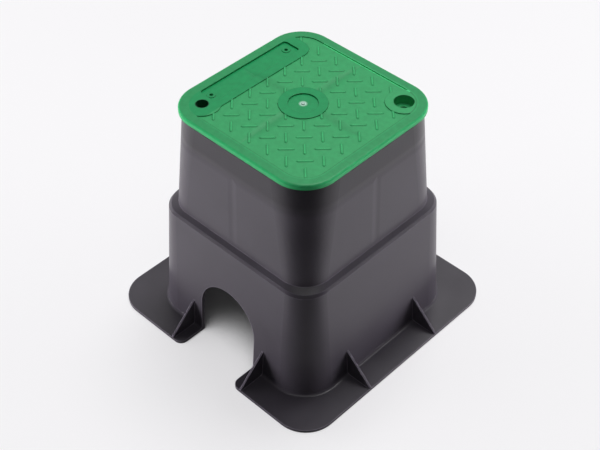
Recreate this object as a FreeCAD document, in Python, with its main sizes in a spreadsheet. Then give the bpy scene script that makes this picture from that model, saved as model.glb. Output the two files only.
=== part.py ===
import FreeCAD, Part
import math
import os
from FreeCAD import Placement, Rotation, Vector
import Sketcher

# Small square irrigation valve box: a black moulded body with a flange, two pipe slots and gussets,
# and a green moulded lid that rests on its rim. Millimetres, +Z up, origin at the bottom centre.
# The pipe runs along Y.

os.makedirs("parts", exist_ok=True)
doc = FreeCAD.newDocument("valve_box")

SIZES = {
    # body, outside: each width grows from the rim's by insets at each side
    "rimWidth": 170.2,
    "rimCorner": 40.0,
    "bodyHeight": 230.5,
    "upperDraft": 3.1,
    "neckCorner": 27.0,
    "ledge": 6.0,
    "ledgeRise": 4.0,
    "shoulderHeight": 122.5,
    "lowerDraft": 8.5,
    "footCorner": 34.0,
    "wallThick": 3.5,
    "bandThick": 5.0,
    "bandDepth": 26.0,
    "bandRamp": 2.0,
    "rimRound": 1.2,
    "shoulderRound": 2.5,
    # flange, pipe slots and gussets
    "flangeReach": 27.2,
    "flangeCorner": 31.3,
    "flangeThick": 3.0,
    "footRound": 3.0,
    "slotWidth": 69.0,
    "slotSpring": 39.0,
    "slotToeRound": 8.0,
    "gussetInset": 11.5,
    "gussetHeight": 34.0,
    "gussetToe": 1.0,
    "gussetThick": 2.0,
    # inside the body
    "wallRibThick": 2.5,
    "wallRibDepth": 4.0,
    "postRadius": 8.0,
    "postLength": 16.0,
    "postClearance": 1.5,
    "pilotRadius": 3.5,
    # lid, seen from above: places are insets from its edge
    "lidInset": 0.1,
    "lidCornerTrim": 8.0,
    "lidThick": 5.0,
    "lidRound": 2.0,
    "borderWidth": 9.5,
    "fieldDrop": 0.8,
    "barPitch": 21.5,
    "barLength": 15.0,
    "barWidth": 2.8,
    "barPoint": 1.6,
    "barSlope": 1.0,
    "barRise": 0.7,
    "panelWidth": 28.5,
    "panelInset": 20.5,
    "panelCorner": 13.0,
    "recessWidth": 19.0,
    "recessFront": 34.0,
    "recessBack": 31.0,
    "recessInset": 0.5,
    "recessCorner": 3.0,
    "recessDepth": 1.6,
    "pinInset": 39.0,
    "pinBossRadius": 4.0,
    "pinBossRise": 0.5,
    "pinHoleRadius": 1.7,
    "pinHoleDepth": 2.0,
    "centreRadius": 21.7,
    "dishRadius": 13.2,
    "dishDepth": 1.2,
    "gateRadius": 1.6,
    "gateRise": 0.6,
    "holeInset": 24.0,
    "holePadRadius": 16.7,
    "counterboreRadius": 9.0,
    "counterboreDepth": 8.7,
    "boltRadius": 4.25,
    "liftRadius": 5.5,
    # lid, seen from below
    "plateThick": 3.2,
    "skirtGap": 1.0,
    "skirtThick": 2.5,
    "skirtHeight": 8.0,
    "lidRibThick": 2.5,
    "lidRibDepth": 6.0,
    "hubRadius": 13.0,
    "bossWall": 2.0,
    "boltFloor": 3.0,
    "liftBossDepth": 4.0,
    # lengths by which a cut runs past the face that it opens
    "overcut": 2.0,
}

# Sizes that follow from the others
DERIVED = {
    "neckWidth": "rimWidth + 2 * upperDraft",
    "neckHeight": "shoulderHeight + ledgeRise",
    "shoulderWidth": "neckWidth + 2 * ledge",
    "footWidth": "shoulderWidth + 2 * lowerDraft",
    "flangeWidth": "footWidth + 2 * flangeReach",
    "gussetOffset": "slotWidth / 2 + gussetInset",
    "lidWidth": "rimWidth - 2 * lidInset",
    "lidCorner": "rimCorner - lidCornerTrim",
    "fieldWidth": "lidWidth - 2 * borderWidth",
    "holeOffset": "lidWidth / 2 - holeInset",
    "barRoom": "(fieldWidth - barLength) / 2 / barPitch",
    "fallingCount": "2 * floor(barRoom) + 1",
    "risingCount": "2 * floor(barRoom + 0.5)",
}

sizes = doc.addObject("Spreadsheet::Sheet", "sizes")
for row, (alias, value) in enumerate(SIZES.items(), start=1):
    sizes.set(f"A{row}", alias)
    sizes.set(f"B{row}", str(value))
    sizes.setAlias(f"B{row}", alias)
for row, (alias, formula) in enumerate(DERIVED.items(), start=len(SIZES) + 1):
    sizes.set(f"A{row}", alias)
    sizes.set(f"B{row}", f"={formula}")
    sizes.setAlias(f"B{row}", alias)
    doc.recompute()


def origin_feature(body, role):
    return next(f for f in body.Origin.OriginFeatures if f.Role == role)


def add_body(label, height=None):
    """A new body; height is the expression for where its own zero stands."""
    body = doc.addObject("PartDesign::Body", label)
    body.Label = label
    if height:
        body.setExpression("Placement.Base.z", height)
    return body


def add_sketch(body, name, role="XY_Plane", at=("0", "0", "0"), turn=0):
    """A sketch on one of the body's planes, shifted by three expressions in that plane's own axes."""
    sketch = body.newObject("Sketcher::SketchObject", name)
    sketch.AttachmentSupport = (origin_feature(body, role), [""])
    sketch.MapMode = "FlatFace"
    sketch.AttachmentOffset = Placement(Vector(), Rotation(Vector(0, 0, 1), turn))
    for axis, expression in zip("xyz", at):
        if expression != "0":
            sketch.setExpression(f"AttachmentOffset.Base.{axis}", expression)
    return sketch


def bind(sketch, kind, refs, name, expression, start):
    """A driving dimension tied to an expression of the sheet's sizes."""
    index = sketch.addConstraint(Sketcher.Constraint(kind, *refs, start))
    sketch.renameConstraint(index, name)
    sketch.setExpression(f"Constraints.{name}", expression)


def draw_rounded(sketch, width, depth, corner, name="", start=(100.0, 100.0, 20.0)):
    """A rectangle with four equal round corners, centred on the sketch's origin."""
    hx, hy, r = start[0] / 2, start[1] / 2, start[2]
    first = len(sketch.Geometry)
    geometry = [
        line(-hx + r, -hy, hx - r, -hy),
        arc(hx - r, -hy + r, r, 270, 360),
        line(hx, -hy + r, hx, hy - r),
        arc(hx - r, hy - r, r, 0, 90),
        line(hx - r, hy, -hx + r, hy),
        arc(-hx + r, hy - r, r, 90, 180),
        line(-hx, hy - r, -hx, -hy + r),
        arc(-hx + r, -hy + r, r, 180, 270),
    ]
    constraints = [("Symmetric", first + 1, 3, first + 5, 3, -1, 1)]
    for k in range(0, 8, 2):
        side, bend, after = first + k, first + k + 1, first + (k + 2) % 8
        constraints.append(("Tangent", side, 2, bend, 1))
        constraints.append(("Tangent", bend, 2, after, 1))
        constraints.append(("Horizontal" if k % 4 == 0 else "Vertical", side))
        if k:
            constraints.append(("Equal", first + 1, bend))
    draw(sketch, geometry, constraints)
    bind(sketch, "DistanceX", (first + 6, 1, first + 2, 1), f"width{name}", width, 2 * hx)
    bind(sketch, "DistanceY", (first, 1, first + 4, 1), f"depth{name}", depth, 2 * hy)
    bind(sketch, "Radius", (first + 1,), f"corner{name}", corner, r)


def draw_circle(sketch, radius, name="", start=10.0):
    index = sketch.addGeometry(Part.Circle(Vector(), Vector(0, 0, 1), start))
    sketch.addConstraint(Sketcher.Constraint("Coincident", index, 3, -1, 1))
    bind(sketch, "Radius", (index,), f"radius{name}", radius, start)


def line(ax, ay, bx, by):
    return Part.LineSegment(Vector(ax, ay, 0), Vector(bx, by, 0))


def arc(cx, cy, radius, begin, end):
    """An arc from one angle to another, in degrees."""
    circle = Part.Circle(Vector(cx, cy, 0), Vector(0, 0, 1), radius)
    return Part.ArcOfCircle(circle, math.radians(begin), math.radians(end))


def draw(sketch, geometry, constraints):
    """Geometry in its starting place, and the constraints that carry no size."""
    for piece in geometry:
        sketch.addGeometry(piece)
    for constraint in constraints:
        sketch.addConstraint(Sketcher.Constraint(*constraint))


def draw_polygon(sketch, corners, start):
    """A closed polygon; each corner is a pair of expressions, both positive from the sketch's origin."""
    count = len(corners)
    draw(
        sketch,
        [line(*start[k], *start[(k + 1) % count]) for k in range(count)],
        [("Coincident", k, 2, (k + 1) % count, 1) for k in range(count)],
    )
    for k, (x, y) in enumerate(corners):
        for kind, axis, name, expression, value in (
            ("DistanceX", -2, f"x{k}", x, start[k][0]),
            ("DistanceY", -1, f"y{k}", y, start[k][1]),
        ):
            if expression == "0":
                draw(sketch, [], [("PointOnObject", k, 1, axis)])
            else:
                bind(sketch, kind, (-1, 1, k, 1), name, expression, value)


def draw_rectangle(sketch, width, depth):
    """A rectangle from the sketch's origin towards +X and +Y."""
    corners = [("0", "0"), (width, "0"), (width, depth), ("0", depth)]
    draw_polygon(sketch, corners, [(0, 0), (60, 0), (60, 40), (0, 40)])


def extrude(body, kind, sketch, length=None, up=True, midplane=False, taper=None):
    """A Pad or a Pocket of a sketch; up means along the sketch's own normal, and a taper draws its walls in."""
    feature = body.newObject(f"PartDesign::{kind}", f"{sketch.Name}_{kind.lower()}")
    feature.Profile = sketch
    feature.Midplane = midplane
    if length:
        feature.setExpression("Length", length)
    else:
        feature.Type = "ThroughAll"
    if taper:
        feature.setExpression("TaperAngle", f"-({taper})")
    # a pad grows along the normal and a pocket cuts against it, unless reversed
    feature.Reversed = not up if kind == "Pad" else up
    doc.recompute()
    return feature


def loft(body, kind, name, stations):
    """A solid through rounded squares, one for each (height, width, corner) in stations, with straight walls."""
    sketches = []
    for k, (height, width, corner) in enumerate(stations):
        sketch = add_sketch(body, f"{name}_{k}", at=("0", "0", height))
        draw_rounded(sketch, width, width, corner, start=(180.0, 180.0, 30.0))
        sketches.append(sketch)
    doc.recompute()
    feature = body.newObject(f"PartDesign::{kind}", name)
    feature.Profile = sketches[0]
    feature.Sections = sketches[1:]
    feature.Ruled = True
    doc.recompute()
    return feature


def round_edges(body, name, radius, chosen):
    """A fillet on the edges of the body's present shape that the function chosen picks."""
    base = body.Tip
    edges = [f"Edge{k}" for k, edge in enumerate(base.Shape.Edges, start=1) if chosen(edge)]
    fillet = body.newObject("PartDesign::Fillet", name)
    fillet.Base = (base, edges)
    fillet.setExpression("Radius", radius)
    doc.recompute()
    return fillet


def polar_copies(body, name, features, count=4):
    pattern = body.newObject("PartDesign::PolarPattern", name)
    pattern.Originals = features
    pattern.Axis = (origin_feature(body, "Z_Axis"), [""])
    pattern.Angle = 360
    pattern.Occurrences = count
    body.Tip = pattern
    doc.recompute()
    return pattern


def grid_copies(body, name, feature, pitch, count):
    """Copies of a feature in a square grid, from the feature towards +X and +Y."""
    grid = body.newObject("PartDesign::MultiTransform", name)
    grid.Originals = [feature]
    rows = []
    for axis in ("X_Axis", "Y_Axis"):
        row = body.newObject("PartDesign::LinearPattern", f"{name}_{axis[0].lower()}")
        row.Direction = (origin_feature(body, axis), [""])
        row.setExpression("Occurrences", count)
        row.setExpression("Length", f"{pitch} * ({count} - 1)")
        rows.append(row)
    grid.Transformations = rows
    body.Tip = grid
    doc.recompute()
    return grid


def all_at_height(height):
    """Picks the edges that lie wholly at one height."""
    def chosen(edge):
        box = edge.BoundBox
        return abs(box.ZMin - height) < 0.01 and abs(box.ZMax - height) < 0.01
    return chosen


# Widths and corners of the drafted walls at any height, as expressions

lower_draft = "sizes.lowerDraft / sizes.shoulderHeight"


def share(low, high, height, bottom, top):
    return f"({low} + ({high} - {low}) * (({height}) - {bottom}) / ({top} - {bottom}))"


def lower_width(height):
    return f"(sizes.footWidth - 2 * ({height}) * {lower_draft})"


def lower_corner(height):
    return f"(sizes.footCorner - ({height}) * {lower_draft})"


def upper_width(height):
    return share("sizes.neckWidth", "sizes.rimWidth", height, "sizes.neckHeight", "sizes.bodyHeight")


def upper_corner(height):
    return share("sizes.neckCorner", "sizes.rimCorner", height, "sizes.neckHeight", "sizes.bodyHeight")


def lower(height, wall="0"):
    """The station of the lower walls at a height, drawn in by a wall."""
    return (height, f"{lower_width(height)} - 2 * {wall}", f"{lower_corner(height)} - {wall}")


def upper(height, wall="0"):
    return (height, f"{upper_width(height)} - 2 * {wall}", f"{upper_corner(height)} - {wall}")


def shoulder_slope(height):
    ends = ("sizes.shoulderHeight", "sizes.neckHeight")
    width = share("sizes.shoulderWidth", "sizes.neckWidth", height, *ends)
    corner = share(lower_corner("sizes.shoulderHeight"), "sizes.neckCorner", height, *ends)
    return (height, width, corner)


# Body: tapered lower walls on a flat flange, then the shoulder and the upper walls

box = add_body("box_body")
draft_angle = f"atan({lower_draft})"
shoulder_foot = "sizes.shoulderHeight - 0.7 * sizes.shoulderRound"
foot = add_sketch(box, "foot")
draw_rounded(foot, "sizes.footWidth", "sizes.footWidth", "sizes.footCorner", start=(180.0, 180.0, 30.0))
extrude(box, "Pad", foot, shoulder_foot, taper=draft_angle)
UPPER_WALLS = [
    lower(shoulder_foot),
    shoulder_slope("sizes.shoulderHeight + 0.4 * sizes.shoulderRound"),
    upper("sizes.neckHeight"),
    upper("sizes.bodyHeight - sizes.rimRound"),
    upper("sizes.bodyHeight - 0.3 * sizes.rimRound", "0.3 * sizes.rimRound"),
    upper("sizes.bodyHeight", "sizes.rimRound"),
]
loft(box, "AdditiveLoft", "upper_walls", UPPER_WALLS)
flange_sketch = add_sketch(box, "flange")
draw_rounded(flange_sketch, "sizes.flangeWidth", "sizes.flangeWidth", "sizes.flangeCorner")
flange = extrude(box, "Pad", flange_sketch, "sizes.flangeThick")


def is_foot_edge(edge):
    """The loop where the walls stand on the flange: just inside it there is wall above."""
    if not all_at_height(SIZES["flangeThick"])(edge):
        return False
    middle = edge.valueAt((edge.FirstParameter + edge.LastParameter) / 2)
    inward = Vector(middle.x, middle.y, 0).normalize() * SIZES["wallThick"]
    above = Vector(0, 0, SIZES["footRound"])
    return flange.Shape.isInside(middle - inward + above, 0.01, False)


round_edges(box, "foot_round", "sizes.footRound", is_foot_edge)

# Valve chamber: open at the top and the bottom, with a thicker band inside the rim
wall, band = "sizes.wallThick", "sizes.bandThick"
chamber_neck = "sizes.neckHeight - sizes.wallThick / 2"
chamber_shoulder = "sizes.shoulderHeight - sizes.wallThick / 2"
band_bottom = "sizes.bodyHeight - sizes.bandDepth"
lower_chamber = add_sketch(box, "lower_chamber")
foot_inside = lower("0", wall)
draw_rounded(lower_chamber, foot_inside[1], foot_inside[1], foot_inside[2], start=(180.0, 180.0, 30.0))
extrude(box, "Pocket", lower_chamber, chamber_shoulder, taper=draft_angle)
UPPER_CHAMBER = [
    lower(chamber_shoulder, wall),
    (chamber_neck, *upper("sizes.neckHeight", wall)[1:]),
    upper(band_bottom, wall),
    upper(f"{band_bottom} + sizes.bandRamp", band),
    upper("sizes.bodyHeight", band),
]
loft(box, "SubtractiveLoft", "upper_chamber", UPPER_CHAMBER)

# Pipe slots: one arch, cut through both Y walls and the flange, with rounded toes at the flange's edge
arch_sketch = add_sketch(box, "slot", "XZ_Plane")
half, spring, below = 30.0, 40.0, 5.0
draw(
    arch_sketch,
    [
        line(-half, -below, half, -below),
        line(half, -below, half, spring),
        arc(0, spring, half, 0, 180),
        line(-half, spring, -half, -below),
    ],
    [
        ("Coincident", 0, 2, 1, 1),
        ("Tangent", 1, 2, 2, 1),
        ("Tangent", 2, 2, 3, 1),
        ("Coincident", 3, 2, 0, 1),
        ("Horizontal", 0),
        ("Vertical", 1),
        ("Vertical", 3),
        ("PointOnObject", 2, 3, -2),
    ],
)
bind(arch_sketch, "Radius", (2,), "radius", "sizes.slotWidth / 2", half)
bind(arch_sketch, "DistanceY", (-1, 1, 2, 3), "spring", "sizes.slotSpring", spring)
bind(arch_sketch, "DistanceY", (0, 1, -1, 1), "below", "sizes.overcut", below)
extrude(box, "Pocket", arch_sketch, midplane=True)


def is_toe_edge(edge):
    """The four upright edges of the flange at the mouths of the slots."""
    low = edge.BoundBox
    upright = low.XLength < 0.01 and low.YLength < 0.01
    return upright and abs(abs(low.XMin) - SIZES["slotWidth"] / 2) < 0.01


round_edges(box, "toe_round", "sizes.slotToeRound", is_toe_edge)

# Gussets: a pair on each wall, sunk by half a wall where they meet it
gussets = []
for side, sign in (("left", "-"), ("right", "")):
    sketch = add_sketch(box, f"gusset_{side}", "YZ_Plane", ("0", "0", f"{sign}sizes.gussetOffset"))
    draw_polygon(
        sketch,
        [
            (f"{lower_width('0')} / 2 - sizes.wallThick / 2", "0"),
            ("sizes.flangeWidth / 2", "0"),
            ("sizes.flangeWidth / 2", "sizes.flangeThick + sizes.gussetToe"),
            (f"{lower_width('sizes.gussetHeight')} / 2 - sizes.wallThick / 2", "sizes.gussetHeight"),
        ],
        [(100, 0), (130, 0), (130, 5), (98, 30)],
    )
    gussets.append(extrude(box, "Pad", sketch, "sizes.gussetThick", midplane=True))
polar_copies(box, "gussets", gussets)

# Upright ribs inside the upper walls, one in the middle of each
rib_foot = "sizes.neckHeight + sizes.wallThick"
rib_top = f"{band_bottom} + sizes.bandRamp / 2"
rib_slope = f"{rib_foot} + sizes.wallRibDepth"
inner_face = "{} / 2 - sizes.wallThick"
rib_sketch = add_sketch(box, "wall_rib", "YZ_Plane")
draw_polygon(
    rib_sketch,
    [
        (f"{upper_width(rib_foot)} / 2 - sizes.wallThick / 2", rib_foot),
        (f"{upper_width(rib_top)} / 2 - sizes.wallThick / 2", rib_top),
        (f"{inner_face.format(upper_width(rib_top))} - sizes.wallRibDepth", rib_top),
        (f"{inner_face.format(upper_width(rib_slope))} - sizes.wallRibDepth", rib_slope),
    ],
    [(88, 130), (86, 200), (80, 200), (82, 134)],
)
wall_rib = extrude(box, "Pad", rib_sketch, "sizes.wallRibThick", midplane=True)
polar_copies(box, "wall_ribs", [wall_rib])

# Post for the lid's bolt, webbed to the corner, clear below the lid's skirt and bolt boss
boss_drop = "(sizes.counterboreDepth + sizes.boltFloor - sizes.lidThick)"
post_top = f"(sizes.bodyHeight - max(sizes.skirtHeight; {boss_drop}) - sizes.postClearance)"
corner_reach = (
    f"sqrt(2) * ({upper_width(post_top)} / 2 - {upper_corner(post_top)}) + {upper_corner(post_top)}"
)
post_at = ("sizes.holeOffset", "sizes.holeOffset", f"{post_top} - sizes.postLength")
post = add_sketch(box, "post", at=post_at, turn=45)
radius, reach = 8.0, 16.0
draw(
    post,
    [
        arc(0, 0, radius, 90, 270),
        line(0, -radius, reach, -radius),
        line(reach, -radius, reach, radius),
        line(reach, radius, 0, radius),
    ],
    [
        ("Coincident", 0, 3, -1, 1),
        ("Tangent", 0, 2, 1, 1),
        ("Coincident", 1, 2, 2, 1),
        ("Coincident", 2, 2, 3, 1),
        ("Tangent", 3, 2, 0, 1),
        ("Horizontal", 1),
        ("Vertical", 2),
    ],
)
bind(post, "Radius", (0,), "radius", "sizes.postRadius", radius)
web = f"{corner_reach} - sqrt(2) * sizes.holeOffset - sizes.bandThick / 3"
bind(post, "DistanceX", (-1, 1, 1, 2), "web", web, reach)
extrude(box, "Pad", post, "sizes.postLength")
pilot = add_sketch(box, "pilot", at=("sizes.holeOffset", "sizes.holeOffset", post_top))
draw_circle(pilot, "sizes.pilotRadius")
extrude(box, "Pocket", pilot, "sizes.postLength")

# Lid: a plate with a round edge; its own zero is the rim that it rests on

lid = add_body("lid", "sizes.bodyHeight")
plate = add_sketch(lid, "plate")
draw_rounded(plate, "sizes.lidWidth", "sizes.lidWidth", "sizes.lidCorner")
extrude(lid, "Pad", plate, "sizes.lidThick")
round_edges(lid, "lid_round", "sizes.lidRound", all_at_height(SIZES["lidThick"]))

# Tread field, a little below the border
field_level = "sizes.lidThick - sizes.fieldDrop"
field = add_sketch(lid, "field", at=("0", "0", "sizes.lidThick"))
draw_rounded(field, "sizes.fieldWidth", "sizes.fieldWidth", "sizes.lidCorner - sizes.borderWidth")
extrude(lid, "Pocket", field, "sizes.fieldDrop", up=False)

# Underside: hollow inside the locating skirt, with ribs that cross at a round hub
skirt_outer = "sizes.rimWidth - 2 * sizes.bandThick - 2 * sizes.skirtGap"
skirt_corner = "sizes.rimCorner - sizes.bandThick - sizes.skirtGap"
skirt_inner = f"{skirt_outer} - 2 * sizes.skirtThick"
inner_corner = f"{skirt_corner} - sizes.skirtThick"
hollow = add_sketch(lid, "hollow")
draw_rounded(hollow, skirt_inner, skirt_inner, inner_corner)
extrude(lid, "Pocket", hollow, "sizes.lidThick - sizes.plateThick")
skirt = add_sketch(lid, "skirt")
draw_rounded(skirt, skirt_outer, skirt_outer, skirt_corner, "_outer", start=(180.0, 180.0, 30.0))
draw_rounded(skirt, skirt_inner, skirt_inner, inner_corner, "_inner", start=(160.0, 160.0, 20.0))
extrude(lid, "Pad", skirt, "sizes.skirtHeight", up=False)
underside = "sizes.lidThick - sizes.plateThick"
rib_length = f"({skirt_outer} - sizes.skirtThick)"
rib_sizes = {"x": (rib_length, "sizes.lidRibThick"), "y": ("sizes.lidRibThick", rib_length)}
for axis, (width, depth) in rib_sizes.items():
    rib = add_sketch(lid, f"lid_rib_{axis}", at=(f"-{width} / 2", f"-{depth} / 2", underside))
    draw_rectangle(rib, width, depth)
    extrude(lid, "Pad", rib, "sizes.lidRibDepth", up=False)
hub = add_sketch(lid, "hub", at=("0", "0", underside))
draw_circle(hub, "sizes.hubRadius")
extrude(lid, "Pad", hub, "sizes.lidRibDepth", up=False)
core = add_sketch(lid, "hub_core", at=("0", "0", f"{underside} - sizes.lidRibDepth"))
draw_circle(core, "sizes.hubRadius - sizes.bossWall")
extrude(lid, "Pocket", core, "sizes.lidRibDepth")

# Bosses under the bolt hole and the lifting hole
bosses = (
    ("bolt", "", "sizes.counterboreRadius + sizes.bossWall", boss_drop),
    ("lift", "-", "sizes.liftRadius + sizes.bossWall", "sizes.liftBossDepth"),
)
for name, sign, radius, drop in bosses:
    spot = f"{sign}sizes.holeOffset"
    boss = add_sketch(lid, f"{name}_boss", at=(spot, spot, underside))
    draw_circle(boss, radius)
    extrude(lid, "Pad", boss, f"{underside} + {drop}", up=False)


def draw_ridge(sketch, length, width, point):
    """A straight bar with a point at each end, along the sketch's X."""
    end, run, side = 7.5, 5.9, 1.4
    corners = [(-end, 0), (-run, -side), (run, -side), (end, 0), (run, side), (-run, side)]
    joined = [("Coincident", k, 2, (k + 1) % 6, 1) for k in range(6)]
    opposite = [("Symmetric", k, 1, k + 3, 1, -1, 1) for k in range(3)]
    level = [("Symmetric", 1, 1, 1, 2, -2), ("PointOnObject", 0, 1, -1)]
    draw(sketch, [line(*corners[k], *corners[(k + 1) % 6]) for k in range(6)], joined + opposite + level)
    bind(sketch, "DistanceX", (0, 1, 3, 1), "length", length, 2 * end)
    bind(sketch, "DistanceY", (2, 1, 4, 1), "width", width, 2 * side)
    bind(sketch, "DistanceX", (0, 1, 1, 1), "point", point, end - run)


# Tread: two square grids of bars with sloping sides that cross, one set half a pitch off the other
bar_taper = "atan(sizes.barSlope / sizes.barRise)"
for name, turn, count in (
    ("tread_falling", -45, "sizes.fallingCount"),
    ("tread_rising", 45, "sizes.risingCount"),
):
    first = f"-sizes.barPitch * ({count} - 1) / 2"
    bar = add_sketch(lid, name, at=(first, first, field_level), turn=turn)
    draw_ridge(bar, "sizes.barLength", "sizes.barWidth", "sizes.barPoint")
    ridge = extrude(lid, "Pad", bar, "sizes.barRise", taper=bar_taper)
    grid_copies(lid, f"{name}_grid", ridge, "sizes.barPitch", count)

# Raised parts at the border's level, which cover the bars below them
for name, x, y, radius in (
    ("centre_pad", "0", "0", "sizes.centreRadius"),
    ("bolt_pad", "sizes.holeOffset", "sizes.holeOffset", "sizes.holePadRadius"),
    ("lift_pad", "-sizes.holeOffset", "-sizes.holeOffset", "sizes.holePadRadius"),
):
    pad = add_sketch(lid, name, at=(x, y, field_level))
    draw_circle(pad, radius)
    extrude(lid, "Pad", pad, "sizes.fieldDrop")

# Side panel: it runs from the lifting hole's pad along the border, and ends in one round corner
panel_side = "sizes.lidWidth / 2 - sizes.borderWidth * 3 / 4"
panel_end = "sizes.lidWidth / 2 - sizes.panelInset"
panel = add_sketch(lid, "panel", at=(f"-({panel_side})", "-sizes.holeOffset", field_level))
across, along, bend = 30.0, 120.0, 10.0
draw(
    panel,
    [
        line(0, 0, across, 0),
        line(across, 0, across, along - bend),
        arc(across - bend, along - bend, bend, 0, 90),
        line(across - bend, along, 0, along),
        line(0, along, 0, 0),
    ],
    [
        ("Coincident", 0, 1, -1, 1),
        ("Coincident", 0, 2, 1, 1),
        ("Tangent", 1, 2, 2, 1),
        ("Tangent", 2, 2, 3, 1),
        ("Coincident", 3, 2, 4, 1),
        ("Coincident", 4, 2, 0, 1),
        ("Horizontal", 0),
        ("Vertical", 1),
        ("Horizontal", 3),
        ("Vertical", 4),
    ],
)
bind(panel, "DistanceX", (0, 1, 0, 2), "across", "sizes.panelWidth + sizes.borderWidth / 4", across)
bind(panel, "DistanceY", (4, 2, 4, 1), "along", f"{panel_end} + sizes.holeOffset", along)
bind(panel, "Radius", (2,), "corner", "sizes.panelCorner", bend)
extrude(lid, "Pad", panel, "sizes.fieldDrop")

# Recess in the side panel, with a bare floor and a boss with a blind hole at each end
recess_x = "-(sizes.lidWidth / 2 - sizes.borderWidth - sizes.recessInset - sizes.recessWidth / 2)"
recess_y = "(sizes.recessFront - sizes.recessBack) / 2"
recess_length = "sizes.lidWidth - sizes.recessFront - sizes.recessBack"
recess = add_sketch(lid, "recess", at=(recess_x, recess_y, "sizes.lidThick"))
draw_rounded(recess, "sizes.recessWidth", recess_length, "sizes.recessCorner", start=(40.0, 90.0, 5.0))
extrude(lid, "Pocket", recess, "sizes.recessDepth", up=False)
recess_floor = "sizes.lidThick - sizes.recessDepth"
for end, sign in (("front", "-"), ("back", "")):
    pin_y = f"{sign}(sizes.lidWidth / 2 - sizes.pinInset)"
    boss = add_sketch(lid, f"pin_boss_{end}", at=(recess_x, pin_y, recess_floor))
    draw_circle(boss, "sizes.pinBossRadius")
    extrude(lid, "Pad", boss, "sizes.pinBossRise")
    hole = add_sketch(lid, f"pin_hole_{end}", at=(recess_x, pin_y, f"{recess_floor} + sizes.pinBossRise"))
    draw_circle(hole, "sizes.pinHoleRadius")
    extrude(lid, "Pocket", hole, "sizes.pinHoleDepth", up=False)

# Dish in the centre, with the mark of the moulding gate
dish = add_sketch(lid, "dish", at=("0", "0", "sizes.lidThick"))
draw_circle(dish, "sizes.dishRadius")
extrude(lid, "Pocket", dish, "sizes.dishDepth", up=False)
gate = add_sketch(lid, "gate", at=("0", "0", "sizes.lidThick - sizes.dishDepth"))
draw_circle(gate, "sizes.gateRadius")
extrude(lid, "Pad", gate, "sizes.gateRise")

# Bolt hole, sunk in a counterbore, and the lifting hole
for name, sign, radius, depth in (
    ("counterbore", "", "sizes.counterboreRadius", "sizes.counterboreDepth"),
    ("bolt_hole", "", "sizes.boltRadius", None),
    ("lift_hole", "-", "sizes.liftRadius", None),
):
    spot = f"{sign}sizes.holeOffset"
    hole = add_sketch(lid, name, at=(spot, spot, "sizes.lidThick"))
    draw_circle(hole, radius)
    extrude(lid, "Pocket", hole, depth, up=False)

# Checks and files
doc.recompute()
for item in doc.Objects:
    if "Invalid" in item.State or "Error" in item.State:
        raise RuntimeError(f"{item.Label}: {item.State}")
for body in (box, lid):
    shape = body.Shape
    if shape.isNull() or not shape.isValid() or len(shape.Solids) != 1:
        raise RuntimeError(f"{body.Label}: not one valid solid")
    bounds = shape.BoundBox
    print(body.Label, round(shape.Volume), [round(v, 2) for v in (bounds.XLength, bounds.YLength, bounds.ZLength)])
    shape.exportStep(f"parts/{body.Label}.step")
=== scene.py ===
import bpy
import math
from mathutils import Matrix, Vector

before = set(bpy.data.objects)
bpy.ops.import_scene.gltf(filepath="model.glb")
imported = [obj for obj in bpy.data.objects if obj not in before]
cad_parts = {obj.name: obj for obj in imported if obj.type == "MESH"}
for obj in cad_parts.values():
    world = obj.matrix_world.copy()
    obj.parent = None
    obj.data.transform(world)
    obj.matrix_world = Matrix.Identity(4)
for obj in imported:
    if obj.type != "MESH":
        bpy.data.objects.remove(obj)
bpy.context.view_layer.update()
print("frame loaded:", sorted(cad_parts))

# Colours, nodes and edges, for both plastics


def srgb(hexValue):
    channels = [int(hexValue[i:i + 2], 16) / 255 for i in (1, 3, 5)]
    return [c / 12.92 if c <= 0.04045 else ((c + 0.055) / 1.055) ** 2.4 for c in channels] + [1.0]


# adds a node: a number in settings means a socket's place, a name means a socket or a property
def addNode(tree, kind, settings=None, links=None):
    node = tree.nodes.new(kind)
    for key, value in (settings or {}).items():
        if isinstance(key, int) or key in node.inputs:
            node.inputs[key].default_value = value
        else:
            setattr(node, key, value)
    for key, source in (links or {}).items():
        tree.links.new(source, node.inputs[key])
    return node


def grainScale(sizeMm):  # a noise texture repeats about every metre / scale
    return 1000 / sizeMm


noiseLow, noiseHigh = 0.3, 0.7  # nearly all of a noise texture lies between these
edgeSamples = 8
turnStart, turnFull = 0.998, 0.93  # cosines of the turn at which the painted edge light and shade starts and is full


def newMaterial(name):
    material = bpy.data.materials.new(name)
    material.use_nodes = True
    material.node_tree.nodes.clear()
    return material, material.node_tree


def paintedEdgeShading(tree, d):  # painted light and shade along the edges: 1 on a plain face, the edge scale where the face turns within the edge radius
    surface = addNode(tree, "ShaderNodeNewGeometry")
    rim = addNode(tree, "ShaderNodeBevel", {"samples": edgeSamples, "Radius": d["paintedEdgeMm"] / 1000})
    turned = addNode(tree, "ShaderNodeVectorMath", {"operation": "DOT_PRODUCT"},
                     {0: rim.outputs["Normal"], 1: surface.outputs["Normal"]})
    paintedLine = addNode(tree, "ShaderNodeMapRange", {
        "From Min": turnStart, "From Max": turnFull, "To Min": 1.0, "To Max": d["paintedEdgeScale"]},
        {"Value": turned.outputs["Value"]})
    return paintedLine.outputs["Result"]


def dress(nodeName, material):
    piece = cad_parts[nodeName]
    for slot in piece.material_slots:
        slot.material = material


# Black polypropylene, injection moulded against a finely spark-eroded steel: nearly black with a violet cast,
# a satin sheen that is cloudy where the melt flowed, and soft hollows where the wall shrank over its ribs

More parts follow.
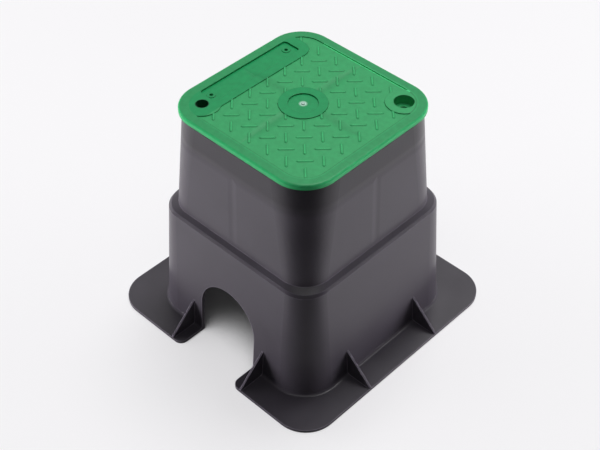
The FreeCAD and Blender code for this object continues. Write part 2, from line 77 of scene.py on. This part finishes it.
blackPlastic = {
    "colour": "#353138",
    "cloudColour": "#444048",
    "cloudMm": 45.0,
    "ior": 1.5,
    "roughness": 0.34,
    "roughnessSpread": 0.08,
    "grainMm": 1.6,         # the real grain is nearer 0.05 mm: drawn coarser so that it shows
    "grainMicron": 34.0,
    "waveMm": 38.0,
    "waveMicron": 170.0,
    "edgeMm": 0.6,          # edges are shaded as if they were rounded this much
    "paintedEdgeScale": 3.0,       # painted highlight along the moulded edges
    "paintedEdgeMm": 1.2,
    "bandHeight": 0.2045,   # underside of the thicker band inside the rim
    "bandShade": 0.54,      # drawn a little darker above the band's underside
    "bandFade": 0.004,
    "ribFoot": 0.130,       # lower end of the upright ribs inside the upper walls
    "sinkHalfWidth": 0.006,
    "sinkMicron": 260.0,
}


def makeBlackPolypropylene(d):
    material, tree = newMaterial("blackPolypropylene")
    place = addNode(tree, "ShaderNodeTexCoord").outputs["Object"]
    axes = addNode(tree, "ShaderNodeSeparateXYZ", {}, {0: place}).outputs
    clouds = addNode(tree, "ShaderNodeTexNoise", {"Scale": grainScale(d["cloudMm"]), "Detail": 3.0},
                     {"Vector": place})
    tone = addNode(tree, "ShaderNodeMix", {
        "data_type": "RGBA", 6: srgb(d["colour"]), 7: srgb(d["cloudColour"])}, {0: clouds.outputs["Fac"]})
    sheen = addNode(tree, "ShaderNodeMapRange", {
        "From Min": noiseLow, "From Max": noiseHigh,
        "To Min": d["roughness"] - d["roughnessSpread"] / 2,
        "To Max": d["roughness"] + d["roughnessSpread"] / 2}, {"Value": clouds.outputs["Fac"]})

    # darker over the band, with a painted highlight along the edges
    overBand = addNode(tree, "ShaderNodeMath", {"operation": "SUBTRACT", 1: d["bandHeight"]}, {0: axes["Z"]})
    shade = addNode(tree, "ShaderNodeMapRange", {
        "From Min": -d["bandFade"], "From Max": d["bandFade"], "To Min": 1.0, "To Max": d["bandShade"]},
        {"Value": overBand.outputs[0]})
    bandAndEdgeHighlight = addNode(tree, "ShaderNodeMath", {"operation": "MULTIPLY"},
                   {0: shade.outputs["Result"], 1: paintedEdgeShading(tree, d)})
    shaded = addNode(tree, "ShaderNodeVectorMath", {"operation": "SCALE"},
                     {0: tone.outputs[2], "Scale": bandAndEdgeHighlight.outputs[0]})

    # sinks: one line round the walls at the band's underside, one upright line in each upper wall's middle
    bandLine = addNode(tree, "ShaderNodeMath", {"operation": "ABSOLUTE"}, {0: overBand.outputs[0]})
    fromX = addNode(tree, "ShaderNodeMath", {"operation": "ABSOLUTE"}, {0: axes["X"]})
    fromY = addNode(tree, "ShaderNodeMath", {"operation": "ABSOLUTE"}, {0: axes["Y"]})
    ribLine = addNode(tree, "ShaderNodeMath", {"operation": "MINIMUM"},
                      {0: fromX.outputs[0], 1: fromY.outputs[0]})
    aboveBand = addNode(tree, "ShaderNodeMath", {"operation": "GREATER_THAN", 1: d["bandHeight"]},
                        {0: axes["Z"]})
    underRibs = addNode(tree, "ShaderNodeMath", {"operation": "LESS_THAN", 1: d["ribFoot"]}, {0: axes["Z"]})
    noRib = addNode(tree, "ShaderNodeMath", {"operation": "MAXIMUM"},
                    {0: aboveBand.outputs[0], 1: underRibs.outputs[0]})
    ribOnly = addNode(tree, "ShaderNodeMath", {"operation": "ADD"},
                      {0: ribLine.outputs[0], 1: noRib.outputs[0]})
    nearest = addNode(tree, "ShaderNodeMath", {"operation": "MINIMUM"},
                      {0: bandLine.outputs[0], 1: ribOnly.outputs[0]})
    sink = addNode(tree, "ShaderNodeMapRange", {
        "interpolation_type": "SMOOTHSTEP", "From Max": d["sinkHalfWidth"]}, {"Value": nearest.outputs[0]})

    grain = addNode(tree, "ShaderNodeTexNoise", {"Scale": grainScale(d["grainMm"]), "Detail": 2.0},
                    {"Vector": place})
    wave = addNode(tree, "ShaderNodeTexNoise", {"Scale": grainScale(d["waveMm"]), "Detail": 1.0},
                   {"Vector": place})
    edges = addNode(tree, "ShaderNodeBevel", {"samples": edgeSamples, "Radius": d["edgeMm"] / 1000})
    sunk = addNode(tree, "ShaderNodeBump", {"Strength": 1.0, "Distance": d["sinkMicron"] / 1e6},
                   {"Height": sink.outputs["Result"], "Normal": edges.outputs["Normal"]})
    waved = addNode(tree, "ShaderNodeBump", {"Strength": 1.0, "Distance": d["waveMicron"] / 1e6},
                    {"Height": wave.outputs["Fac"], "Normal": sunk.outputs["Normal"]})
    grained = addNode(tree, "ShaderNodeBump", {"Strength": 1.0, "Distance": d["grainMicron"] / 1e6},
                      {"Height": grain.outputs["Fac"], "Normal": waved.outputs["Normal"]})
    shader = addNode(tree, "ShaderNodeBsdfPrincipled", {"IOR": d["ior"]}, {
        "Base Color": shaded.outputs["Vector"], "Roughness": sheen.outputs["Result"],
        "Normal": grained.outputs["Normal"]})
    addNode(tree, "ShaderNodeOutputMaterial", {}, {"Surface": shader.outputs["BSDF"]})
    return material


# Green polypropylene of the lid, injection moulded. The tread field was eroded rougher, so it looks greyer
# than the panel, ring and dish, which were cut smooth, and the border lies between. Shrinkage over the ribs
# below leaves a soft cross, drawn as a bump with painted shade, and the melt's flow from the gate leaves pale
# rays in the dish

greenPlastic = {
    "colour": "#1a985a",
    "fieldColour": "#34a565",
    "mottleMm": 5.0,         # patches of handling and rain
    "mottleSpread": 0.07,
    "ior": 1.49,
    "specular": 0.3,         # this green shines less than the black
    "roughness": 0.33,
    "fieldRoughness": 0.42,
    "grainMm": 0.9,          # finer in truth, drawn coarser so that it shows
    "grainMicron": 5.0,
    "fieldMicron": 30.0,
    "edgeMm": 0.35,
    "paintedEdgeScale": 0.70,       # painted shade along the moulded edges
    "paintedEdgeMm": 0.8,
    "fieldLow": 0.2346,      # the field and its bars lie between these two heights
    "fieldHigh": 0.23545,
    "barCrest": 0.2349,
    "barCrestHighlight": 1.38,        # painted highlight on the crests of the bars, and painted shade at their feet
    "barFoot": 0.23487,
    "barFootHalf": 0.00012,
    "barFootPaintedShade": 0.74,
    "borderInside": 0.0755,
    "borderCorner": 0.0225,
    "borderShade": 0.89,
    "borderPolish": 0.3,     # the border is cut smoother than the field, but not as smooth as the panel
    "lineHalf": 0.0006,
    "arrisHighlight": 1.20,      # painted highlight on the border's inner edge, and painted shade at its foot
    "footPaintedShade": 0.70,
    "farSide": 0.060,        # past this Y, edge and foot both get a painted highlight along their straight part
    "farEnd": 0.056,
    "farArrisHighlight": 1.5,
    "farFootHighlight": 1.8,
    "panelSide": -0.0468,
    "liftHole": (-0.061, -0.061, 0),
    "liftRadius": 0.0062,
    "liftFade": 0.0003,
    "liftShade": 0.3,        # little light comes out of the lifting hole
    "sinkHalfWidth": 0.0075,
    "sinkShade": 0.86,
    "sinkMicron": 620.0,
    "sinkFade": 0.045,       # distances from the middle at which the cross starts to fade and is gone
    "sinkEnd": 0.090,
    "ringRadius": 0.0219,
    "dishRadius": 0.0132,
    "rayColour": "#209a5d",
    "rayTurns": 2.0,         # how fast the rays change round the dish
    "rayLow": 0.4,
    "rayHigh": 0.65,
    "gateColour": "#d5f5e8",
    "gateRadius": 0.0042,
    "gateCore": 0.0014,
}


def makeGreenPolypropylene(d):
    material, tree = newMaterial("greenPolypropylene")
    place = addNode(tree, "ShaderNodeTexCoord").outputs["Object"]
    axes = addNode(tree, "ShaderNodeSeparateXYZ", {}, {0: place}).outputs

    # smooth where the panel, the ring and the dish stand off the field's height, rough in the field,
    # and between the two on the border, which starts at a rounded square
    fromX = addNode(tree, "ShaderNodeMath", {"operation": "ABSOLUTE"}, {0: axes["X"]})
    fromY = addNode(tree, "ShaderNodeMath", {"operation": "ABSOLUTE"}, {0: axes["Y"]})
    flat = addNode(tree, "ShaderNodeCombineXYZ", {}, {0: axes["X"], 1: axes["Y"]})
    radius = addNode(tree, "ShaderNodeVectorMath", {"operation": "LENGTH"}, {0: flat.outputs[0]})
    tooLow = addNode(tree, "ShaderNodeMath", {"operation": "LESS_THAN", 1: d["fieldLow"]}, {0: axes["Z"]})
    tooHigh = addNode(tree, "ShaderNodeMath", {"operation": "GREATER_THAN", 1: d["fieldHigh"]},
                      {0: axes["Z"]})
    offField = addNode(tree, "ShaderNodeMath", {"operation": "ADD"},
                       {0: tooLow.outputs[0], 1: tooHigh.outputs[0]})
    inRing = addNode(tree, "ShaderNodeMath", {"operation": "LESS_THAN", 1: d["ringRadius"]},
                     {0: radius.outputs["Value"]})
    corner = d["borderInside"] - d["borderCorner"]
    across = addNode(tree, "ShaderNodeVectorMath", {"operation": "ABSOLUTE"}, {0: flat.outputs[0]})
    beyond = addNode(tree, "ShaderNodeVectorMath", {"operation": "SUBTRACT", 1: (corner, corner, 0)},
                     {0: across.outputs[0]})
    clipped = addNode(tree, "ShaderNodeVectorMath", {"operation": "MAXIMUM", 1: (0, 0, 0)},
                      {0: beyond.outputs[0]})
    fromCorner = addNode(tree, "ShaderNodeVectorMath", {"operation": "LENGTH"}, {0: clipped.outputs[0]})
    inBorder = addNode(tree, "ShaderNodeMath", {"operation": "LESS_THAN", 1: d["borderCorner"]},
                       {0: fromCorner.outputs["Value"]})
    besideField = addNode(tree, "ShaderNodeMath", {"operation": "LESS_THAN", 1: d["panelSide"]},
                          {0: axes["X"]})
    inPanel = addNode(tree, "ShaderNodeMath", {"operation": "MULTIPLY"},
                      {0: inBorder.outputs[0], 1: besideField.outputs[0]})
    zone = addNode(tree, "ShaderNodeMath", {"operation": "MAXIMUM"},
                   {0: inRing.outputs[0], 1: inPanel.outputs[0]})
    inside = addNode(tree, "ShaderNodeMath", {"operation": "MULTIPLY"},
                     {0: offField.outputs[0], 1: zone.outputs[0]})
    polish = addNode(tree, "ShaderNodeMath", {
        "operation": "MULTIPLY_ADD", 1: -d["borderPolish"], 2: d["borderPolish"]}, {0: inBorder.outputs[0]})
    smooth = addNode(tree, "ShaderNodeMath", {"operation": "MAXIMUM"},
                     {0: inside.outputs[0], 1: polish.outputs[0]})
    tone = addNode(tree, "ShaderNodeMix", {
        "data_type": "RGBA", 6: srgb(d["fieldColour"]), 7: srgb(d["colour"])}, {0: smooth.outputs[0]})
    sheen = addNode(tree, "ShaderNodeMapRange", {"To Min": d["fieldRoughness"], "To Max": d["roughness"]},
                    {"Value": smooth.outputs[0]})

    # pale rays and gate in the dish, by angle and by distance from the lid's middle
    angle = addNode(tree, "ShaderNodeMath", {"operation": "ARCTAN2"}, {0: axes["Y"], 1: axes["X"]})
    turns = addNode(tree, "ShaderNodeMath", {"operation": "MULTIPLY", 1: d["rayTurns"]},
                    {0: angle.outputs[0]})
    rays = addNode(tree, "ShaderNodeTexNoise", {"noise_dimensions": "1D", "Scale": 1.0, "Detail": 2.0},
                   {"W": turns.outputs[0]})
    rayShare = addNode(tree, "ShaderNodeMapRange", {"From Min": d["rayLow"], "From Max": d["rayHigh"]},
                       {"Value": rays.outputs["Fac"]})
    inDish = addNode(tree, "ShaderNodeMath", {"operation": "LESS_THAN", 1: d["dishRadius"]},
                     {0: radius.outputs["Value"]})
    dishRays = addNode(tree, "ShaderNodeMath", {"operation": "MULTIPLY"},
                       {0: rayShare.outputs["Result"], 1: inDish.outputs[0]})
    rayed = addNode(tree, "ShaderNodeMix", {"data_type": "RGBA", 7: srgb(d["rayColour"])},
                    {0: dishRays.outputs[0], 6: tone.outputs[2]})
    gate = addNode(tree, "ShaderNodeMapRange", {"From Min": d["gateRadius"], "From Max": d["gateCore"]},
                   {"Value": radius.outputs["Value"]})
    colour = addNode(tree, "ShaderNodeMix", {"data_type": "RGBA", 7: srgb(d["gateColour"])},
                     {0: gate.outputs["Result"], 6: rayed.outputs[2]})

    # sinks over the ribs below: a shallow bump, and painted shade along the cross
    nearest = addNode(tree, "ShaderNodeMath", {"operation": "MINIMUM"},
                      {0: fromX.outputs[0], 1: fromY.outputs[0]})
    arm = addNode(tree, "ShaderNodeMapRange", {
        "interpolation_type": "SMOOTHSTEP", "From Min": d["sinkFade"], "From Max": d["sinkEnd"],
        "To Max": d["sinkHalfWidth"]}, {"Value": radius.outputs["Value"]})
    faded = addNode(tree, "ShaderNodeMath", {"operation": "ADD"},
                    {0: nearest.outputs[0], 1: arm.outputs["Result"]})
    aside = addNode(tree, "ShaderNodeMath", {"operation": "ADD"}, {0: faded.outputs[0], 1: inRing.outputs[0]})
    sink = addNode(tree, "ShaderNodeMapRange", {
        "interpolation_type": "SMOOTHSTEP", "From Max": d["sinkHalfWidth"]}, {"Value": aside.outputs[0]})
    sinkShade = addNode(tree, "ShaderNodeMapRange", {"To Min": d["sinkShade"]},
                        {"Value": sink.outputs["Result"]})

    # shades of the lifting hole and the border, painted highlight and shade on the bars and along the edges,
    # and the patches all over
    fromLift = addNode(tree, "ShaderNodeVectorMath", {"operation": "DISTANCE", 1: d["liftHole"]},
                       {0: flat.outputs[0]})
    outOfHole = addNode(tree, "ShaderNodeMapRange", {
        "From Min": d["liftRadius"] - d["liftFade"], "From Max": d["liftRadius"], "To Min": d["liftShade"]},
        {"Value": fromLift.outputs["Value"]})
    border = addNode(tree, "ShaderNodeMapRange", {"To Min": d["borderShade"]}, {"Value": inBorder.outputs[0]})
    bars = addNode(tree, "ShaderNodeMapRange", {
        "From Min": d["barCrest"], "From Max": d["fieldHigh"], "To Min": 1.0, "To Max": d["barCrestHighlight"]},
        {"Value": axes["Z"]})
    foot = addNode(tree, "ShaderNodeMath", {"operation": "COMPARE", 1: d["barFoot"], 2: d["barFootHalf"]},
                   {0: axes["Z"]})
    barFootShading = addNode(tree, "ShaderNodeMapRange", {"To Min": 1.0, "To Max": d["barFootPaintedShade"]},
                      {"Value": foot.outputs[0]})
    barPaintedLight = addNode(tree, "ShaderNodeMath", {"operation": "MULTIPLY"},
                      {0: bars.outputs["Result"], 1: barFootShading.outputs["Result"]})
    onField = addNode(tree, "ShaderNodeMath", {"operation": "SUBTRACT", "use_clamp": True},
                      {0: inBorder.outputs[0], 1: tooHigh.outputs[0]})
    barsOnly = addNode(tree, "ShaderNodeMix", {2: 1.0}, {0: onField.outputs[0], 3: barPaintedLight.outputs[0]})
    spots = addNode(tree, "ShaderNodeTexNoise", {"Scale": grainScale(d["mottleMm"]), "Detail": 3.0},
                    {"Vector": place})
    mottle = addNode(tree, "ShaderNodeMapRange", {
        "From Min": noiseLow, "From Max": noiseHigh,
        "To Min": 1 - d["mottleSpread"], "To Max": 1 + d["mottleSpread"]}, {"Value": spots.outputs["Fac"]})
    shades = [paintedEdgeShading(tree, d), outOfHole.outputs["Result"], border.outputs["Result"], barsOnly.outputs[0],
              mottle.outputs["Result"]]

    # two painted lines round the border's step, a highlight on its edge and shade at its foot, both
    # highlights on the far side, but not beside the panel
    beyondFar = addNode(tree, "ShaderNodeMath", {"operation": "GREATER_THAN", 1: d["farSide"]},
                        {0: axes["Y"]})
    straight = addNode(tree, "ShaderNodeMath", {"operation": "LESS_THAN", 1: d["farEnd"]},
                       {0: fromX.outputs[0]})
    farSide = addNode(tree, "ShaderNodeMath", {"operation": "MULTIPLY"},
                      {0: beyondFar.outputs[0], 1: straight.outputs[0]})
    for offset, near, distant in ((d["lineHalf"], d["arrisHighlight"], d["farArrisHighlight"]),
                                  (-d["lineHalf"], d["footPaintedShade"], d["farFootHighlight"])):
        line = addNode(tree, "ShaderNodeMath", {
            "operation": "COMPARE", 1: d["borderCorner"] + offset, 2: d["lineHalf"]},
            {0: fromCorner.outputs["Value"]})
        bare = addNode(tree, "ShaderNodeMath", {"operation": "SUBTRACT", "use_clamp": True},
                       {0: line.outputs[0], 1: besideField.outputs[0]})
        pale = addNode(tree, "ShaderNodeMapRange", {"To Min": near, "To Max": distant},
                       {"Value": farSide.outputs[0]})
        paintedLine = addNode(tree, "ShaderNodeMix", {2: 1.0}, {0: bare.outputs[0], 3: pale.outputs["Result"]})
        shades.append(paintedLine.outputs[0])
    total = sinkShade.outputs["Result"]
    for factor in shades:
        total = addNode(tree, "ShaderNodeMath", {"operation": "MULTIPLY"}, {0: total, 1: factor}).outputs[0]
    shaded = addNode(tree, "ShaderNodeVectorMath", {"operation": "SCALE"},
                     {0: colour.outputs[2], "Scale": total})

    grain = addNode(tree, "ShaderNodeTexNoise", {"Scale": grainScale(d["grainMm"]), "Detail": 2.0},
                    {"Vector": place})
    depth = addNode(tree, "ShaderNodeMapRange", {
        "To Min": d["fieldMicron"] / 1e6, "To Max": d["grainMicron"] / 1e6}, {"Value": smooth.outputs[0]})
    edges = addNode(tree, "ShaderNodeBevel", {"samples": edgeSamples, "Radius": d["edgeMm"] / 1000})
    sunk = addNode(tree, "ShaderNodeBump", {"Strength": 1.0, "Distance": d["sinkMicron"] / 1e6},
                   {"Height": sink.outputs["Result"], "Normal": edges.outputs["Normal"]})
    grained = addNode(tree, "ShaderNodeBump", {"Strength": 1.0},
                      {"Distance": depth.outputs["Result"], "Height": grain.outputs["Fac"],
                       "Normal": sunk.outputs["Normal"]})
    shader = addNode(tree, "ShaderNodeBsdfPrincipled", {"IOR": d["ior"], "Specular IOR Level": d["specular"]},
                     {"Base Color": shaded.outputs["Vector"], "Roughness": sheen.outputs["Result"],
                      "Normal": grained.outputs["Normal"]})
    addNode(tree, "ShaderNodeOutputMaterial", {}, {"Surface": shader.outputs["BSDF"]})
    return material


dress("box_body", makeBlackPolypropylene(blackPlastic))
dress("lid", makeGreenPolypropylene(greenPlastic))
print("plastics made")

# Studio: a pale floor, low strip lamps left and right that light the walls and not the lid, a soft lamp
# above, and little light from in front. The camera sees plain pale paper with the object's shadow on it

studio = {
    "azimuth": 43.96,              # the corner of the box that stands in front, and the view of it
    "elevation": 43.52,
    "cameraPlace": (0.58002, -0.60534, 0.88752),
    "lens": 74.31,
    "sensor": 36,
    "floorSize": 12.0,
    "floorColour": "#eeecee",
    "floorFront": "#202020",       # for reflections only: a dark part of the floor, in front of the box
    "frontStart": 0.68,            # cosines of the angle from straight in front
    "frontFull": 0.92,
    "floorNear": 0.6,              # the share of that darkness close to the box
    "nearReach": (0.2, 0.4),       # metres from the middle over which it grows to the whole
    "floorSeen": "#f8f7f9",
    "floorGlow": 0.62,             # the share of the seen paper that no lamp changes
    "glowReach": (0.55, 1.2),      # metres from the middle over which that grows to the whole
    "shadowReach": 0.3,            # the glow still darkens under the box's flange and beside its walls
    "shadowSpan": (0.13, 0.47),
    "shadowSamples": 12,
    "sideReach": 1.7,
    "stripLength": 1.6,
    "stripHeight": 0.2,
    "stripMiddle": 0.115,
    "leftForward": -0.2,
    "leftPower": 55.0,
    "rightForward": -0.3,
    "rightPower": 42.0,
    "topPlace": (-0.20, 0.70, 2.05),
    "topSize": 1.0,
    "topPower": 23.8,
    "frontReach": 0.75,
    "frontHeight": 1.75,
    "frontSize": 1.6,
    "frontPower": 5.0,
    "aim": (0, 0, 0.12),
    "worldBack": 0.55,             # the room's light on the box, stronger from behind
    "worldFront": 0.05,
    "worldSpan": (-0.6, 0.1),
}


def frontDirection(d):
    a = math.radians(d["azimuth"])
    return Vector((math.sin(a), -math.cos(a), 0))


def towardsFront(tree, d, vector):  # 1 in front, -1 behind
    unit = addNode(tree, "ShaderNodeVectorMath", {"operation": "NORMALIZE"}, {0: vector})
    dot = addNode(tree, "ShaderNodeVectorMath", {"operation": "DOT_PRODUCT", 1: frontDirection(d)},
                  {0: unit.outputs["Vector"]})
    return dot.outputs["Value"]


def makeFloor(d):
    bpy.ops.object.select_all(action="DESELECT")
    bpy.ops.mesh.primitive_plane_add(size=d["floorSize"], location=(0, 0, 0))
    floor = bpy.context.object
    floor.name = "floor"
    material, tree = newMaterial("paperFloor")
    place = addNode(tree, "ShaderNodeTexCoord").outputs["Object"]

    # what reflections and bounced light find: pale paper with its dark part
    front = addNode(tree, "ShaderNodeMapRange", {"From Min": d["frontStart"], "From Max": d["frontFull"]},
                    {"Value": towardsFront(tree, d, place)})
    distance = addNode(tree, "ShaderNodeVectorMath", {"operation": "LENGTH"}, {0: place})
    far = addNode(tree, "ShaderNodeMapRange", {
        "From Min": d["nearReach"][0], "From Max": d["nearReach"][1], "To Min": d["floorNear"]},
        {"Value": distance.outputs["Value"]})
    dark = addNode(tree, "ShaderNodeMath", {"operation": "MULTIPLY"},
                   {0: front.outputs["Result"], 1: far.outputs["Result"]})
    colour = addNode(tree, "ShaderNodeMix", {
        "data_type": "RGBA", 6: srgb(d["floorColour"]), 7: srgb(d["floorFront"])}, {0: dark.outputs[0]})
    unseen = addNode(tree, "ShaderNodeBsdfDiffuse", {}, {"Color": colour.outputs[2]})

    # what the camera sees: paper in the lamps' light, mixed with a glow that keeps the shadow
    paper = addNode(tree, "ShaderNodeBsdfDiffuse", {"Color": srgb(d["floorSeen"])})
    shelter = addNode(tree, "ShaderNodeAmbientOcclusion", {
        "samples": d["shadowSamples"], "Distance": d["shadowReach"]})
    shadow = addNode(tree, "ShaderNodeMapRange", {
        "interpolation_type": "SMOOTHSTEP", "From Min": d["shadowSpan"][0], "From Max": d["shadowSpan"][1]},
        {"Value": shelter.outputs["AO"]})
    glow = addNode(tree, "ShaderNodeEmission", {"Color": srgb(d["floorSeen"])},
                   {"Strength": shadow.outputs["Result"]})
    share = addNode(tree, "ShaderNodeMapRange", {
        "From Min": d["glowReach"][0], "From Max": d["glowReach"][1], "To Min": d["floorGlow"]},
        {"Value": distance.outputs["Value"]})
    seen = addNode(tree, "ShaderNodeMixShader", {},
                   {0: share.outputs["Result"], 1: paper.outputs["BSDF"], 2: glow.outputs["Emission"]})
    path = addNode(tree, "ShaderNodeLightPath")
    surface = addNode(tree, "ShaderNodeMixShader", {}, {
        0: path.outputs["Is Camera Ray"], 1: unseen.outputs["BSDF"], 2: seen.outputs["Shader"]})
    addNode(tree, "ShaderNodeOutputMaterial", {}, {"Surface": surface.outputs["Shader"]})
    floor.data.materials.append(material)


def makeWorld(d):
    world = bpy.data.worlds.new("room")
    world.use_nodes = True
    tree = world.node_tree
    tree.nodes.clear()
    place = addNode(tree, "ShaderNodeTexCoord").outputs["Generated"]
    front = addNode(tree, "ShaderNodeMapRange", {
        "From Min": d["worldSpan"][0], "From Max": d["worldSpan"][1],
        "To Min": d["worldBack"], "To Max": d["worldFront"]},
        {"Value": towardsFront(tree, d, place)})
    background = addNode(tree, "ShaderNodeBackground", {"Color": (1, 1, 1, 1)},
                         {"Strength": front.outputs["Result"]})
    backdrop = addNode(tree, "ShaderNodeBackground", {"Color": srgb(d["floorSeen"])})
    path = addNode(tree, "ShaderNodeLightPath")
    seen = addNode(tree, "ShaderNodeMixShader", {}, {
        0: path.outputs["Is Camera Ray"], 1: background.outputs["Background"],
        2: backdrop.outputs["Background"]})
    addNode(tree, "ShaderNodeOutputWorld", {}, {"Surface": seen.outputs["Shader"]})
    bpy.context.scene.world = world


def makeLamp(name, place, aim, size, power, height=None, mirrored=True):
    light = bpy.data.lights.new(name, "AREA")
    light.shape = "ELLIPSE" if height is None else "RECTANGLE"
    light.size = size
    light.size_y = height or size
    light.energy = power
    lamp = bpy.data.objects.new(name, light)
    bpy.context.scene.collection.objects.link(lamp)
    lamp.location = place
    lamp.visible_glossy = mirrored  # the strips would draw a hard line along the shoulder's round
    lamp.rotation_euler = (Vector(aim) - Vector(place)).to_track_quat("-Z", "Y").to_euler()


def makeLamps(d):
    front = frontDirection(d)
    right = Vector((-front.y, front.x, 0))
    for name, side in (("left", -1), ("right", 1)):
        place = right * side * d["sideReach"] + front * d[name + "Forward"]
        place.z = d["stripMiddle"]
        makeLamp(name + "Strip", place, d["aim"], d["stripLength"], d[name + "Power"], d["stripHeight"],
                 mirrored=False)
    makeLamp("topLamp", d["topPlace"], d["aim"], d["topSize"], d["topPower"])
    place = front * d["frontReach"]
    place.z = d["frontHeight"]
    makeLamp("frontLamp", place, d["aim"], d["frontSize"], d["frontPower"])


def makeCamera(d):
    bpy.ops.object.camera_add(location=d["cameraPlace"])
    camera = bpy.context.object
    a, e = math.radians(d["azimuth"]), math.radians(d["elevation"])
    back = Vector((math.sin(a) * math.cos(e), -math.cos(a) * math.cos(e), math.sin(e)))
    camera.rotation_euler = (-back).to_track_quat("-Z", "Y").to_euler()
    camera.data.lens = d["lens"]
    camera.data.sensor_width = d["sensor"]
    bpy.context.scene.camera = camera


makeFloor(studio)
makeWorld(studio)
makeLamps(studio)
makeCamera(studio)
bpy.context.scene.view_settings.view_transform = "Standard"
print("studio made")
